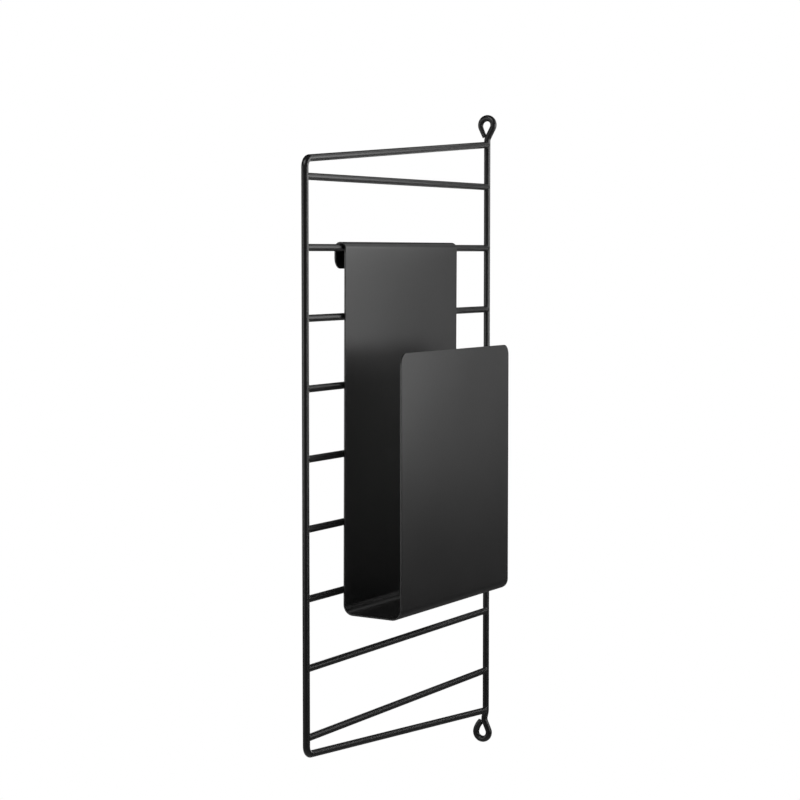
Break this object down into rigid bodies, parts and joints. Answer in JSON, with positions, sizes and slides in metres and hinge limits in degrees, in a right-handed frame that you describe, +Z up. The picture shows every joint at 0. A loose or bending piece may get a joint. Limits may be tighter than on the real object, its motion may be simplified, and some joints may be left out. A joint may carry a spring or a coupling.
{
  "type": "magazine rack",
  "caption": "Wall-hung wire ladder panel that stands out from the wall, with a bent-sheet magazine pocket hooked over one rung.",
  "frame": {"origin": "the middle of the upper wall eye's opening, on the wall plane y = 0", "axes": "+Z up along the uprights, -Y out of the wall along the rungs, +X square to the panel towards the side the pocket hangs on"},
  "size_m": [0.0623, 0.3, 0.5195],
  "materials": {
    "wire_powder_coat": "satin charcoal-black powder coat over steel wire",
    "sheet_powder_coat": "matt charcoal-black powder coat with a fine even grain over steel sheet"
  },
  "bodies": {
    "panel": {"front_frame": "wire_powder_coat", "rear_upright": "wire_powder_coat", "rung_01": "wire_powder_coat", "rung_02": "wire_powder_coat", "rung_03": "wire_powder_coat", "rung_04": "wire_powder_coat", "rung_05": "wire_powder_coat", "rung_06": "wire_powder_coat", "rung_07": "wire_powder_coat", "rung_08": "wire_powder_coat", "rung_09": "wire_powder_coat"},
    "pocket": {"magazine_pocket": "sheet_powder_coat"}
  },
  "joints": [
    {"name": "pocket_lift", "type": "slide", "parent": "panel", "child": "pocket", "axis": [0, 0, 1], "range_m": [0, 0.042]}
  ]
}
